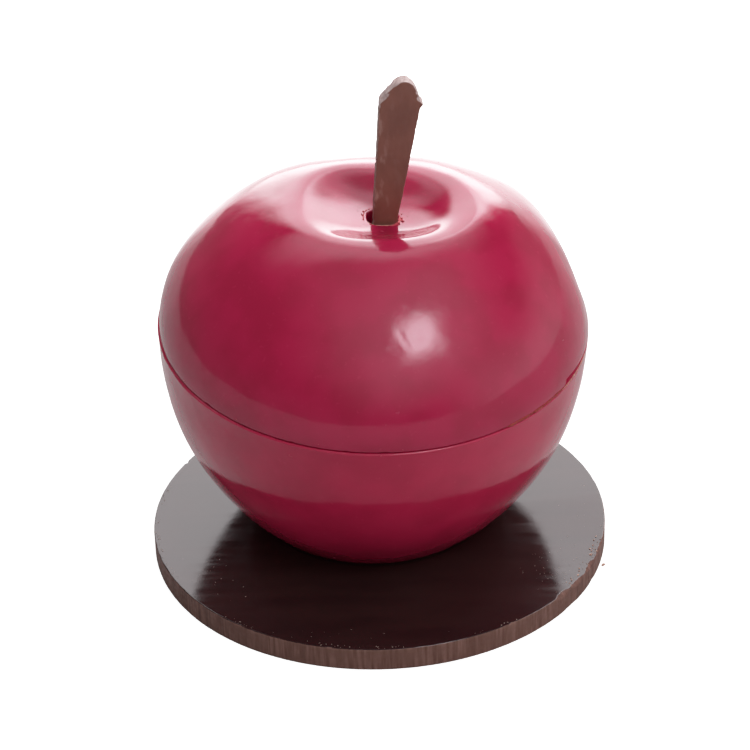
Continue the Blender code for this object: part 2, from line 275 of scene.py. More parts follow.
def rings_mesh(name, rings, material, smooth_angle=35.0):
    """A closed surface lofted through rings of equal point counts, with a fan at each end."""
    rings = np.asarray(rings)
    count, around = rings.shape[:2]
    points = rings.reshape(-1, 3)
    ends = np.stack([rings[0].mean(axis=0), rings[-1].mean(axis=0)])
    steps = np.arange(around)
    after = (steps + 1) % around
    faces = []
    for i in range(count - 1):
        a = i * around
        b = a + around
        faces.extend(np.stack([a + steps, b + steps, b + after, a + after], axis=1).tolist())
    first = len(points)
    base = (count - 1) * around
    faces.extend(np.stack([np.full(around, first), steps, after], axis=1).tolist())
    faces.extend(np.stack([np.full(around, first + 1), base + after, base + steps], axis=1).tolist())
    mesh = bpy.data.meshes.new(name)
    mesh.from_pydata(np.concatenate([points, ends]).tolist(), [], faces)
    return add_piece(name, mesh, material, smooth_angle)


def circle(count):
    """Azimuths of points once round, with their cosines and sines."""
    azimuth = np.linspace(-180.0, 180.0, count, endpoint=False)
    turn = np.radians(azimuth)
    return azimuth, np.cos(turn), np.sin(turn)


def cubic(start, leave, arrive, end, stages):
    """Points on a cubic Bezier curve at stages of 0 to 1."""
    t = stages[:, None]
    s = 1.0 - t
    a, b, c, d = (np.array(p) for p in (start, leave, arrive, end))
    return s ** 3 * a + 3 * s * s * t * b + 3 * s * t * t * c + t ** 3 * d


def last_stage(test, shape):
    """The last stage of 0 to 1 at which the test still holds, for each point, found by halving."""
    low, high = np.zeros(shape), np.ones(shape)
    for _ in range(HALVINGS):
        middle = (low + high) / 2
        holds = test(middle)
        low = np.where(holds, middle, low)
        high = np.where(holds, high, middle)
    return low


def to_world(points):
    matrix = np.array(APPLE)
    return points @ matrix[:3, :3].T + matrix[:3, 3]


def wave(points, size, seed):
    """Smooth noise of about -1 to 1 at each point; size may differ along x, y and z."""
    shift = Vector((seed * 7.3, seed * 3.1, seed * 5.7))
    flat = points.reshape(-1, 3) / size
    values = [noise.noise(Vector(p) + shift) for p in flat]
    return np.array(values).reshape(points.shape[:-1])


def smooth(low, high, value):
    """0 below low, 1 above high and a soft step between."""
    t = np.clip((value - low) / (high - low), 0.0, 1.0)
    return t * t * (3 - 2 * t)


def unit(points):
    return points / np.linalg.norm(points, axis=-1, keepdims=True)


def ripple(points, core, waves, fade):
    """The gentle unevenness of a hand-moulded, polished surface."""
    height = sum(rise * wave(points, size, seed) for rise, size, seed in waves)
    return points + unit(points - core) * (height * fade)[..., None]


def turned_by(azimuth, middle):
    """Angle from a middle direction, in degrees, between -180 and 180."""
    return (azimuth - middle + 180.0) % 360.0 - 180.0


def stretch(azimuth, middle, half, sharp=3.0):
    """1 in the middle of a stretch of azimuth, falling to 0 at its ends."""
    return np.clip(1.0 - np.abs(turned_by(azimuth, middle) / half) ** sharp, 0.0, 1.0)


def ring_noise(azimuth, radius, size, seed):
    """Noise along a circle, the same from one turn to the next."""
    turn = np.radians(azimuth)
    points = np.stack([radius * np.cos(turn), radius * np.sin(turn), np.zeros(turn.shape)], axis=-1)
    return wave(points, size, seed)


# ---------------------------------------------------------------- upper half

def mouth_reach(azimuth):
    """Distance from the middle of the stem's hole to its rim."""
    turn = np.radians(azimuth)
    across, deep = np.abs(np.cos(turn) / HOLE_HALF[0]), np.abs(np.sin(turn) / HOLE_HALF[1])
    return (across ** HOLE_SQUARE + deep ** HOLE_SQUARE) ** (-1 / HOLE_SQUARE)


def crest_reach(azimuth):
    """Distance from the dimple's middle to the crest ring."""
    turn = np.radians(azimuth)
    cos, sin = np.cos(turn), np.sin(turn)
    depth = np.where(sin < 0.0, CREST_FRONT, CREST_BACK)
    total = np.abs(cos / CREST_SIDE) ** CREST_SQUARE + np.abs(sin / depth) ** CREST_SQUARE
    reach = total ** (-1.0 / CREST_SQUARE)
    for middle, share, spread in CREST_LOBES:
        reach = reach * (1.0 + share * np.exp(-0.5 * (turned_by(azimuth, middle) / spread) ** 2))
    return reach


def crest_lift(azimuth):
    turn = np.radians(azimuth)
    return CREST_TILT[0] * np.cos(turn) + CREST_TILT[1] * np.sin(turn)


def wall_share(stage, azimuth):
    """Share of the crest ring that the dimple's wall has reached at each stage, 0 to 1."""
    swing = np.cos(np.radians(azimuth))
    foot = WALL_FOOT + WALL_SWING[0] * swing
    head = WALL_HEAD + WALL_SWING[1] * swing
    left = 1.0 - stage
    return 3 * left * left * stage * foot + 3 * left * stage * stage * head + stage ** 3


def wall_height(stage):
    return DIMPLE_H + (CREST_H - DIMPLE_H) * (3.0 - 2.0 * stage) * stage * stage


def dimple_height(x, y):
    """Height of the dimple's surface above the seam plane."""
    dx, dy = x - DIMPLE[0], y - DIMPLE[1]
    azimuth = np.degrees(np.arctan2(dy, dx))
    share = np.hypot(dx, dy) / crest_reach(azimuth)
    stage = last_stage(lambda middle: wall_share(middle, azimuth) < share, share.shape)
    return wall_height(stage) + share ** 2 * crest_lift(azimuth)


def swell(points):
    """The soft swells and hollows that keep the crown from being a true turned form."""
    outward = unit(points - SWELL_CORE)
    reach = np.linalg.norm(points[..., :2], axis=-1)
    fade = np.clip((points[..., 2] - UPPER_EDGE) / (3.0 * MM), 0.0, 1.0)
    push = np.zeros(points.shape[:-1])
    for azimuth, height, amount, spread in SWELLS:
        turn = math.radians(azimuth)
        there = np.stack([reach * math.cos(turn), reach * math.sin(turn), np.full(reach.shape, height)], -1)
        far = np.linalg.norm(points - there, axis=-1) + (reach < CREST_SIDE)
        middle = points.reshape(-1, 3)[np.argmin(far)]
        push += amount * np.exp(-np.sum((points - middle) ** 2, axis=-1) / (2 * spread * spread))
    return points + outward * (push * fade)[..., None]


def crease(points):
    """Short shallow folds in the skin of the crown, front right of the middle."""
    height = np.zeros(points.shape[:-1])
    for (x, y), angle, half, depth in CREASES:
        turn = math.radians(angle)
        right, up = points[..., 0] - x, points[..., 2] - CREASE_H
        across = right * math.cos(turn) + up * math.sin(turn)
        along = -right * math.sin(turn) + up * math.cos(turn)
        near = (np.abs(points[..., 1] - y) < 6.0 * MM) * np.exp(-(across / half) ** 4)
        height -= depth * near * np.exp(-(along / CREASE_W) ** 2)
    return points + unit(points - SWELL_CORE) * height[..., None]


def edge_lift(azimuth):
    """How far the upper half's bottom edge is worn or broken away."""
    lift = 0.03 * MM * (1.0 + ring_noise(azimuth, UPPER_R, 1.5 * MM, 11))
    near, far = CHIP_SPAN
    broken = np.clip((far - azimuth) / (far - near), 0.0, 1.0) * (azimuth > near)
    lift += CHIP_H * broken ** 0.8
    middle, half, height = EDGE_RAGGED
    ragged = 0.65 + 0.5 * ring_noise(azimuth, UPPER_R, 1.1 * MM, 12)
    lift += height * stretch(azimuth, middle, half) * ragged
    for middle, half, height in EDGE_NICKS:
        lift += height * stretch(azimuth, middle, half)
    return lift


def make_upper(material):
    azimuth, cos, sin = circle(AROUND)
    outward = np.array((cos, sin))
    mouth = mouth_reach(azimuth) * (1.0 + 0.035 * ring_noise(azimuth, 1.0, 0.35, 21))
    crest = crest_reach(azimuth)
    lift = crest_lift(azimuth)
    rings = []

    def ring(x, y, z):
        rings.append(np.stack([x, y, z * np.ones(AROUND)], axis=1))

    def round_hole(scale):
        return np.array((HOLE_X + mouth * scale * cos, HOLE_Y + mouth * scale * sin))

    def round_dimple(share):
        return np.array((DIMPLE[0] + share * crest * cos, DIMPLE[1] + share * crest * sin))

    ring(*round_hole(HOLE_FOOT), DIMPLE_H - HOLE_DEPTH)
    for scale, drop in HOLE_RIM:
        x, y = round_hole(scale)
        ring(x, y, dimple_height(x, y) - drop)
    rim = round_hole(HOLE_RIM[-1][0])
    wall = round_dimple(wall_share(WALL_JOIN, azimuth))
    for s in np.linspace(0.0, 1.0, JOIN_RINGS + 1)[1:]:
        x, y = (1 - s) * rim + s * wall
        ring(x, y, dimple_height(x, y))
    for stage in np.linspace(WALL_JOIN, 1.0, WALL_RINGS + 1)[1:]:
        share = wall_share(stage, azimuth)
        ring(*round_dimple(share), wall_height(stage) + share ** 2 * lift)
    side = cubic((0.0, CREST_H), (SHOULDER_REACH, CREST_H), (1.0 + SHOULDER_BULGE, SHOULDER_RISE),
                 (1.0, UPPER_EDGE), np.linspace(0.0, 1.0, SIDE_RINGS + 1))
    for share, height in side[1:]:
        x, y = (1 - share) * round_dimple(1.0) + share * UPPER_R * outward
        ring(x, y, height + (1 - share) ** 2 * lift)
    outer = len(rings)
    for share, drop in UPPER_UNDER:
        ring(*(UPPER_R * share * outward), UPPER_EDGE - drop)
    points = swell(np.array(rings))
    from_hole = np.hypot(points[..., 0] - HOLE_X, points[..., 1] - HOLE_Y)
    fade = smooth(2.0 * MM, 6.0 * MM, from_hole) * smooth(0.5 * MM, 5.0 * MM, points[..., 2])
    fade[outer:] = 0.0
    points = crease(ripple(points, SWELL_CORE, UPPER_RIPPLES, fade))
    worn = edge_lift(azimuth) * np.clip(1.0 - points[..., 2] / (1.5 * MM), 0.0, 1.0)
    worn[outer + 1:] = 0.0
    points[..., 2] += worn
    return rings_mesh("upper_shell", to_world(points), material)


# ---------------------------------------------------------------- lower half

def lip_radius(azimuth):
    turn = np.radians(azimuth)
    return (LIP_R - LIP_SHIFT * np.cos(turn) + 0.025 * MM * ring_noise(azimuth, LIP_R, 2.5 * MM, 31)
            + 0.012 * MM * ring_noise(azimuth, LIP_R, 0.7 * MM, 32))


def lip_wear(azimuth):
    """How far the lip's upper corner is worn or nicked."""
    worn = 0.05 * MM * np.abs(ring_noise(azimuth, LIP_R, 1.2 * MM, 33))
    for middle, half, depth in LIP_NICKS:
        worn += depth * stretch(azimuth, middle, half)
    return worn


def make_lower(material):
    azimuth, cos, sin = circle(AROUND)
    lip = lip_radius(azimuth)
    worn = lip_wear(azimuth)
    foot = DISC_T + FOOT_GAP

    def ring(radius, height):
        return to_world(np.stack([radius * cos, radius * sin, height * np.ones(AROUND)], axis=1))

    def bowl(stages):
        radius, height = cubic(BOWL_TOP, (LOWER_R + BOWL_BULGE, -BOWL_DROP), BOWL_TURN, BOWL_TIP, stages).T
        melt = np.exp((height - BOWL_TOP[1]) / LIP_FADE)
        return ring(radius + (lip - LOWER_R) * melt, height - worn * melt ** 4)

    top = [ring(LIP_R * share, LIP_TOP) for share in LIP_FLAT]
    for inset, inwards, drop, downwards in LIP_CORNER:
        top.append(ring(lip - inset - worn * inwards, LIP_TOP - drop - worn * downwards))
    end = last_stage(lambda stages: bowl(stages)[:, 2] > foot, AROUND)
    body = np.array(top + [bowl(end * s ** 1.3) for s in np.linspace(0.0, 1.0, BOWL_RINGS)])
    below_lip = np.clip((np.arange(len(body)) - len(top)) / 12.0, 0.0, 1.0)[:, None]
    fade = smooth(0.0, 6.0 * MM, body[..., 2] - foot) * below_lip
    body = ripple(body, np.array(SEAM_CENTRE), LOWER_RIPPLES, fade)
    last = body[-1]
    centre = last.mean(axis=0)
    under = np.array([centre + (last - centre) * share for share in FOOT_RINGS])
    under[..., 2] = foot
    return rings_mesh("lower_shell", np.concatenate([body, under]), material)


# ---------------------------------------------------------------- base disc

def disc_edge(azimuth, fine, coarse):
    """How far the top edge is broken inwards and downwards, and 1 in the middle of each chip."""
    bite = 0.10 * MM + 0.05 * MM * np.abs(coarse) + 0.04 * MM * np.clip(fine, 0.0, 1.0)
    drop = 0.10 * MM + 0.08 * MM * np.abs(coarse) + 0.06 * MM * np.clip(-fine, 0.0, 1.0)
    rough_edge = stretch(azimuth, *DISC_ROUGH, 2.0)
    bite = bite + 0.14 * MM * rough_edge * np.abs(fine + coarse)
    drop = drop + 0.30 * MM * rough_edge * np.abs(coarse)
    broken = np.zeros(DISC_AROUND)
    ragged = 1.0 + 0.4 * fine + 0.35 * coarse
    for middle, half, depth, down in DISC_CHIPS:
        chip = stretch(azimuth, middle, half, 2.5)
        bite = np.maximum(bite, depth * chip * ragged)
        drop = np.maximum(drop, down * chip * ragged)
        broken = np.maximum(broken, chip)
    return bite, drop, broken


def make_disc(material):
    azimuth, cos, sin = circle(DISC_AROUND)
    fine = ring_noise(azimuth, DISC_R, 0.5 * MM, 41)
    coarse = ring_noise(azimuth, DISC_R, 2.2 * MM, 42)
    slow = ring_noise(azimuth, DISC_R, 9.0 * MM, 43)
    bite, drop, broken = disc_edge(azimuth, fine, coarse)
    side = DISC_R - 0.04 * MM - 0.03 * MM * np.abs(slow) - 0.02 * MM * np.abs(fine)
    for middle, half, depth in DISC_CUTS:
        side = side - depth * stretch(azimuth, middle, half, 2.0)
    middle, half, sag = DISC_DROOP
    droop = sag * stretch(azimuth, middle, half, 2.0) ** 1.5
    rings = []

    def ring(radius, height):
        radius = radius * np.ones(DISC_AROUND)
        height = height - droop * smooth(14.0 * MM, 39.0 * MM, radius) * (height / DISC_T)
        rings.append(np.stack([radius * cos, radius * sin, height], axis=1))

    for radius in DISC_TOP:
        ring(radius * MM, DISC_T)
    for share in (1.6, 1.25, 1.08):
        ring(side - bite * share - 0.05 * MM, DISC_T)
    ring(side - bite, DISC_T - 0.02 * MM)
    for share in (0.2, 0.4, 0.6, 0.8):
        rough = 0.09 * MM * broken * ring_noise(azimuth, DISC_R, 0.7 * MM, 44 + int(share * 10))
        ring(side - bite * (1 - share) ** 1.3 + rough, DISC_T - drop * share)
    ring(side, DISC_T - drop)
    for share in np.linspace(0.0, 1.0, DISC_SIDE_RINGS + 1)[1:]:
        scrape = 0.02 * MM * ring_noise(azimuth, DISC_R, 0.4 * MM, 60 + int(share * 3))
        ring(side + scrape, (DISC_T - drop) * (1 - share) + DISC_FOOT * share)
    ring(side - 0.04 * MM - 0.05 * MM * np.abs(fine), 0.08 * MM)
    ring(side - 0.14 * MM - 0.08 * MM * np.abs(coarse), 0.0)
    for radius in DISC_UNDER:
        ring(radius * MM, 0.0)
    return rings_mesh("base_plate", rings, material, 30.0)


# ---------------------------------------------------------------- stem

def stem_rows():
    """Half width, height and shift to the right of each ring, from the foot to the tip."""
    flare = (STEM_HEAD_W - STEM_MOUTH_W) / 2 / STEM_RISE
    rows = [(STEM_MOUTH_W / 2 + flare * z, z, 0.0) for z in np.linspace(-STEM_SUNK, STEM_RISE, STEM_RINGS)]
    for angle in np.linspace(0.0, math.pi / 2, STEM_TOP_RINGS + 1)[1:]:
        lift = 1.0 - math.cos(angle) ** STEM_ARCH
        half = max(STEM_HEAD_W / 2 * math.cos(angle), 0.02 * MM)
        rows.append((half, STEM_RISE + STEM_DOME * lift, STEM_PEAK * lift))
    return np.array(rows)


def make_stem(material):
    turn = np.linspace(0.0, 2 * math.pi, STEM_AROUND, endpoint=False)
    cos, sin = np.cos(turn), np.sin(turn)
    half, height, shift = (column[:, None] for column in stem_rows().T)
    x = np.sign(cos) * np.abs(cos) ** STEM_CORNERS[0] * half + shift
    y = np.sign(sin) * np.abs(sin) ** STEM_CORNERS[1] * STEM_T / 2
    rings = np.stack(np.broadcast_arrays(x, y, height), axis=-1)
    across = (x - shift) / half
    face = np.sign(y)

    dents = wave(rings, np.array((0.9 * MM, 1.5 * MM, 7.0 * MM)), 51) * 0.035 * MM
    rings[..., 1] += face * (dents + wave(rings, 1.1 * MM, 52) * 0.012 * MM)
    corner = smooth(0.80, 0.97, np.abs(across))
    nick = np.clip(wave(rings, np.array((2.0 * MM, 1.2 * MM, 1.0 * MM)), 53) - 0.12, 0.0, 1.0)
    rings[..., 0] -= np.sign(across) * corner * nick * 0.22 * MM
    rings[..., 0] += corner * wave(rings, np.array((5.0 * MM, 5.0 * MM, 3.5 * MM)), 54) * 0.06 * MM
    for side, rise, spread, push in STEM_BURRS:
        burr = np.exp(-((height - STEM_RISE - rise) / spread) ** 2) * (across * side > 0.8)
        rings[..., 0] += side * push * burr
    margin = half * (1.0 - np.abs(across))
    brim = np.exp(-(margin / (0.35 * MM)) ** 2) * smooth(STEM_RISE - 0.5 * MM, STEM_RISE + 0.5 * MM, height)
    ragged = np.clip(wave(rings, 0.9 * MM, 55) * 1.3 + 0.45, 0.1, 1.2)
    rings[..., 1] -= face * brim * ragged * 0.32 * MM

    placed = rings @ np.array(STEM_TURN).T + np.array(STEM_PLACE)
    return rings_mesh("stem_slab", to_world(placed)[:, ::-1], material, 32.0)


# ---------------------------------------------------------------- broken edges, crumbs and dust

def cord_mesh(name, path, half_width, half_height, material, seed):
    """A thin ragged strip of broken chocolate along a path, tapering to nothing at both ends."""
    count = len(path)
    along = np.gradient(path, axis=0)
    up = np.tile(np.array(APPLE)[:3, 2], (count, 1))
    out = unit(np.cross(along, up))
    taper = np.clip(1.0 - np.abs(np.linspace(-1.0, 1.0, count)) ** 4, 0.04, 1.0)
    taper = taper * (0.75 + 0.5 * wave(path, 0.9 * MM, seed) + 0.3 * wave(path, 0.35 * MM, seed + 1))
    taper = np.clip(taper, 0.1, None)[:, None, None]
    turn = np.linspace(0.0, 2 * math.pi, CORD_AROUND, endpoint=False)
    ring = (np.cos(turn)[None, :, None] * half_width * out[:, None]
            + np.sin(turn)[None, :, None] * half_height * up[:, None])
    points = path[:, None] + ring * taper
    points = points + ring * 0.35 * wave(points, 0.3 * MM, seed + 2)[..., None]
    return rings_mesh(name, points, material, 40.0)


def seam_path(start, end, radius, height):
    """Points along the seam between two azimuths."""
    azimuth = np.linspace(start, end, SEAM_POINTS)
    turn = np.radians(azimuth)
    lift = height + 0.04 * MM * ring_noise(azimuth, radius, 1.4 * MM, 71)
    return to_world(np.stack([radius * np.cos(turn), radius * np.sin(turn), lift], axis=-1))


def mouth_path(start, end, scale):
    """Points round the stem's hole between two azimuths, scaled from its rim."""
    azimuth = np.linspace(start, end, MOUTH_POINTS)
    turn = np.radians(azimuth)
    reach = mouth_reach(azimuth) * scale
    x, y = HOLE_X + reach * np.cos(turn), HOLE_Y + reach * np.sin(turn)
    return to_world(np.stack([x, y, dimple_height(x, y) - 0.02 * MM], axis=-1))


def crumb(rng, size, flat):
    """Corners and faces of one small broken grain."""
    bm = bmesh.new()
    for _ in range(CRUMB_CORNERS):
        a = Vector((rng.gauss(0, 1), rng.gauss(0, 1), rng.gauss(0, 1))).normalized()
        a *= rng.uniform(0.75, 1.0)
        bm.verts.new((a.x * size, a.y * size * rng.uniform(0.7, 1.0), a.z * size * flat))
    bmesh.ops.convex_hull(bm, input=bm.verts)
    loose = [v for v in bm.verts if not v.link_faces]
    bmesh.ops.delete(bm, geom=loose, context="VERTS")
    bm.verts.index_update()
    verts = [v.co.copy() for v in bm.verts]
    faces = [[v.index for v in f.verts] for f in bm.faces]
    bm.free()
    return verts, faces


def grains(name, spots, material, seed):
    """One mesh of small grains, each on a spot: (point, normal, size, flatness)."""
    rng = random.Random(seed)
    verts, faces = [], []
    for point, normal, size, flat in spots:
        shape, sides = crumb(rng, size, flat)
        turn = normal.to_track_quat("Z", "Y").to_matrix() @ Matrix.Rotation(rng.uniform(0.0, 6.28), 3, "Z")
        first = len(verts)
        low = min(v.z for v in shape)
        seat = point - normal * (low + size * flat * 0.25)
        verts.extend(seat + turn @ v for v in shape)
        faces.extend([first + i for i in side] for side in sides)
    mesh = bpy.data.meshes.new(name)
    mesh.from_pydata(verts, [], faces)
    return add_piece(name, mesh, material)


def tree_of(ob):
    return BVHTree.FromPolygons([v.co for v in ob.data.vertices], [p.vertices for p in ob.data.polygons])


def on_side(tree, azimuth, height):
    """Point and normal on the apple's side, at a height in its own frame."""
    turn = math.radians(azimuth)
    away = Vector((math.cos(turn), math.sin(turn), 0.0))
    start = APPLE @ (away * RAY_START + Vector((0.0, 0.0, height)))
    return tree.ray_cast(start, -(LEAN.to_matrix() @ away))[:2]


def on_top(tree, x, y):
    """Point and normal on the apple's top, at a place in its own frame."""
    down = LEAN.to_matrix() @ Vector((0.0, 0.0, -1.0))
    return tree.ray_cast(APPLE @ Vector((x, y, RAY_START)), down)[:2]


def on_disc(tree, x, y):
    """Point and normal on the base."""
    return tree.ray_cast(Vector((x, y, RAY_START)), Vector((0.0, 0.0, -1.0)))[:2]


def on_rim(tree, azimuth, radius):
    turn = math.radians(azimuth)
    return on_disc(tree, radius * math.cos(turn), radius * math.sin(turn))


def make_crimson_flakes(upper, lower, material):
    rng = random.Random(5)
    spots = []
    for azimuth, height, size in SEAM_FLAKES:
        tree = upper if height > 0.0 else lower
        spots.append((*on_side(tree, azimuth, height * MM), size * MM, 0.6))
    for azimuth, reach, size in MOUTH_FLAKES:
        turn = math.radians(azimuth)
        x = HOLE_X + HOLE_HALF[0] * reach * math.cos(turn)
        y = HOLE_Y + HOLE_HALF[1] * reach * math.sin(turn)
        spots.append((*on_top(upper, x, y), size * MM, 0.55))
    for _ in range(12):
        place = on_top(upper, rng.gauss(11.0, 2.0) * MM, rng.gauss(11.6, 1.2) * MM)
        spots.append((*place, rng.uniform(0.04, 0.09) * MM, 0.6))
    return grains("crimson_flakes", spots, material, 15)


def make_shavings(upper, material):
    spots = [(*on_top(upper, x * MM, y * MM), size * MM, 0.45) for x, y, size in STEM_SHAVINGS]
    return grains("stem_shavings", spots, material, 16)


def make_crumbs(disc, material):
    """Crumbs on the bitten edge of the base, and one loose beside it."""
    rng = random.Random(7)
    spots = [(Vector((36.0 * MM, -10.9 * MM, 0.1 * MM)), Vector((0.0, 0.0, 1.0)), 0.42 * MM, 0.8)]
    for _ in range(26):
        place = on_rim(disc, rng.uniform(-36.0, -9.0), rng.uniform(35.4, 36.7) * MM)
        spots.append((*place, rng.uniform(0.08, 0.22) * MM, 0.7))
    return grains("chocolate_crumbs", spots, material, 17)


def make_dust(disc, material):
    """Pale dust in patches on the base, clear of the apple and the edge, and along its rim."""
    rng = random.Random(9)
    spots = []
    for middle, spread, count in DUST_PATCHES:
        for _ in range(count):
            x, y = rng.gauss(middle[0], spread[0]) * MM, rng.gauss(middle[1], spread[1]) * MM
            if 24.0 * MM < math.hypot(x, y) < 36.4 * MM:
                spots.append((*on_disc(disc, x, y), rng.uniform(0.03, 0.085) * MM, 0.8))
    for azimuth, spread, count in DUST_ON_RIM:
        for _ in range(count):
            place = on_rim(disc, rng.gauss(azimuth, spread), rng.uniform(36.1, 36.7) * MM)
            spots.append((*place, rng.uniform(0.05, 0.13) * MM, 0.6))
    return grains("pale_dust", spots, material, 18)


# ---------------------------------------------------------------- finishes

def new_material(name, colour, roughness):
    material = bpy.data.materials.new(name)
    material.use_nodes = True
    bsdf = material.node_tree.nodes["Principled BSDF"]
    bsdf.inputs["Base Color"].default_value = (*colour, 1.0)
    bsdf.inputs["Roughness"].default_value = roughness
    return material, material.node_tree, bsdf


def maths(tree, operation, *values):
    """A Math node on numbers or sockets."""
    node = tree.nodes.new("ShaderNodeMath")
    node.operation = operation
    for socket, value in zip(node.inputs, values):
        if isinstance(value, float):
            socket.default_value = value
        else:
            tree.links.new(value, socket)
    return node.outputs[0]


def soft_step(tree, value, low, high, to_low=0.0, to_high=1.0):
    """A Map Range node that goes softly from one number at low to another at high."""
    node = tree.nodes.new("ShaderNodeMapRange")
    node.interpolation_type = "SMOOTHSTEP"
    tree.links.new(value, node.inputs["Value"])
    for socket, number in zip(("From Min", "From Max", "To Min", "To Max"), (low, high, to_low, to_high)):
        node.inputs[socket].default_value = number
    return node.outputs["Result"]


class Weave:
    """Short ways to add noise, ranges, mixes and bumps to one material."""

    def __init__(self, name, colour, roughness):
        self.material, self.tree, self.bsdf = new_material(name, colour, roughness)
        self.place = self.tree.nodes.new("ShaderNodeTexCoord").outputs["Object"]
        self.normal = None

    def noise(self, size, detail, seed):
        """Noise of 0 to 1 whose features are about this size; the size may differ along x, y and z."""
        mapping = self.tree.nodes.new("ShaderNodeMapping")
        sizes = size if isinstance(size, tuple) else (size, size, size)
        mapping.inputs["Scale"].default_value = [1.0 / s for s in sizes]
        mapping.inputs["Location"].default_value = (seed, seed * 1.7, seed * 2.3)
        self.tree.links.new(self.place, mapping.inputs["Vector"])
        node = self.tree.nodes.new("ShaderNodeTexNoise")
        node.inputs["Scale"].default_value = 1.0
        node.inputs["Detail"].default_value = detail
        self.tree.links.new(mapping.outputs[0], node.inputs["Vector"])
        return node.outputs[0]

    def span(self, value, low, high, to_low=0.0, to_high=1.0):
        return soft_step(self.tree, value, low, high, to_low, to_high)

    def mix(self, factor, first, second):
        node = self.tree.nodes.new("ShaderNodeMix")
        node.data_type = "RGBA"
        self.tree.links.new(factor, node.inputs["Factor"])
        for socket, colour in ((node.inputs[6], first), (node.inputs[7], second)):
            if isinstance(colour, tuple):
                socket.default_value = (*colour, 1.0)
            else:
                self.tree.links.new(colour, socket)
        return node.outputs[2]

    def along(self, axis):
        node = self.tree.nodes.new("ShaderNodeSeparateXYZ")
        self.tree.links.new(self.place, node.inputs[0])
        return node.outputs[axis]

    def bump(self, height, distance):
        """Adds a bump on top of those that the material has."""
        node = self.tree.nodes.new("ShaderNodeBump")
        node.inputs["Distance"].default_value = distance
        self.tree.links.new(height, node.inputs["Height"])
        if self.normal:
            self.tree.links.new(self.normal, node.inputs["Normal"])
        self.normal = node.outputs["Normal"]
        self.tree.links.new(self.normal, self.bsdf.inputs["Normal"])

    def colour(self, value):
        self.tree.links.new(value, self.bsdf.inputs["Base Color"])

    def roughness(self, value):
        self.tree.links.new(value, self.bsdf.inputs["Roughness"])


def crimson_finish(name, plain, deep, pale, seed):
    """Glossy coloured chocolate: faint clouding, dull scuffs and a fine skin."""
    look = Weave(name, plain, 0.08)
    look.bsdf.inputs["Specular Tint"].default_value = (1.0, 0.92, 1.0, 1.0)
    cloud = look.span(look.noise(7.0 * MM, 4.0, seed), 0.38, 0.66)
    fleck = look.span(look.noise(0.8 * MM, 3.0, seed + 1.0), 0.60, 0.78, 0.0, 0.5)
    look.colour(look.mix(fleck, look.mix(cloud, plain, deep), pale))
    scuff = look.span(look.noise((3.0 * MM, 3.0 * MM, 1.2 * MM), 4.0, seed + 2.0), 0.60, 0.76, 0.0, 0.13)
    skin = look.span(look.noise(2.2 * MM, 4.0, seed + 3.0), 0.35, 0.75, 0.09, 0.18)
    look.roughness(maths(look.tree, "ADD", scuff, skin))
    look.bump(look.noise(4.0 * MM, 3.0, seed + 6.0), 0.03 * MM)
    look.bump(look.noise(1.3 * MM, 3.0, seed + 4.0), 0.006 * MM)
    look.bump(look.noise(0.25 * MM, 2.0, seed + 5.0), 0.001 * MM)
    return look.material


def dark_gloss():
    """The base's glossy top, with faint streaks along x."""
    look = Weave("dark_gloss", (0.024, 0.0105, 0.0105), 0.12)
    look.bsdf.inputs["IOR"].default_value = 1.38
    look.bsdf.inputs["Specular Tint"].default_value = (1.0, 0.90, 0.94, 1.0)
    cloud = look.span(look.noise((14.0 * MM, 3.0 * MM, 5.0 * MM), 3.0, 3.0), 0.35, 0.7)
    look.colour(look.mix(cloud, (0.026, 0.0115, 0.011), (0.019, 0.0085, 0.0085)))
    look.roughness(look.span(look.noise((9.0 * MM, 1.5 * MM, 5.0 * MM), 4.0, 4.0), 0.35, 0.75, 0.09, 0.18))
    look.bump(look.noise((16.0 * MM, 1.6 * MM, 5.0 * MM), 2.0, 5.0), 0.007 * MM)
    look.bump(look.noise(0.5 * MM, 3.0, 6.0), 0.002 * MM)
    return look.material


def dark_cut():
    """The base's matt cut side, with upright scrapes."""
    look = Weave("dark_cut", (0.14, 0.072, 0.058), 0.6)
    look.bsdf.inputs["Specular IOR Level"].default_value = 0.3
    scrape = look.span(look.noise((0.5 * MM, 0.5 * MM, 7.0 * MM), 3.0, 7.0), 0.3, 0.72)
    cloud = look.span(look.noise(3.0 * MM, 3.0, 8.0), 0.4, 0.75)
    worn = look.mix(scrape, (0.120, 0.052, 0.040), (0.225, 0.115, 0.094))
    look.colour(look.mix(cloud, worn, (0.160, 0.076, 0.060)))
    look.roughness(look.span(look.noise(0.6 * MM, 3.0, 9.0), 0.3, 0.7, 0.5, 0.72))
    look.bump(look.noise((0.4 * MM, 0.4 * MM, 5.0 * MM), 3.0, 10.0), 0.03 * MM)
    look.bump(look.noise(0.25 * MM, 3.0, 11.0), 0.02 * MM)
    return look.material


